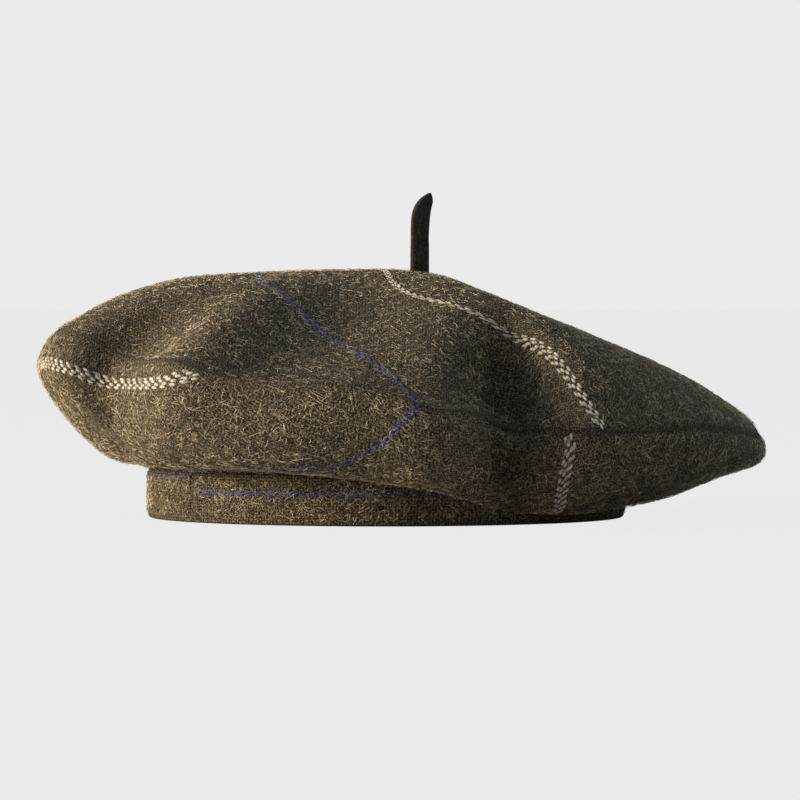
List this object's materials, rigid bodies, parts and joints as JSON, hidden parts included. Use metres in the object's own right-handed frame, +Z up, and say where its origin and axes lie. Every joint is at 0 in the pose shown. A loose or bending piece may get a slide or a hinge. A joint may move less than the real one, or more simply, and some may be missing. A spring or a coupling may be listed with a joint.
{
  "type": "tam o shanter beret",
  "caption": "Tweed tam o shanter in the beret cut: flat round top, side ring, headband and a short stem.",
  "frame": {"origin": "under the middle of the hat's plan outline, on the surface that it stands on", "axes": "+Z up, -Y towards the front, +X towards the lower, drooping side of the crown; the headband's centre is at x -6.4 mm, y -2.3 mm"},
  "size_m": [0.28, 0.2858, 0.1256],
  "materials": {
    "tweed_top": "matte heather wool twill with white and blue overstripes",
    "tweed_side": "matte heather wool twill with white and blue overstripes",
    "tweed_band": "matte heather wool twill with one blue overstripe",
    "stem_cloth": "matte dark wool"
  },
  "bodies": {
    "root": {"crown_top": "tweed_top", "crown_side": "tweed_side", "headband": "tweed_band", "stem": "stem_cloth"}
  },
  "joints": []
}
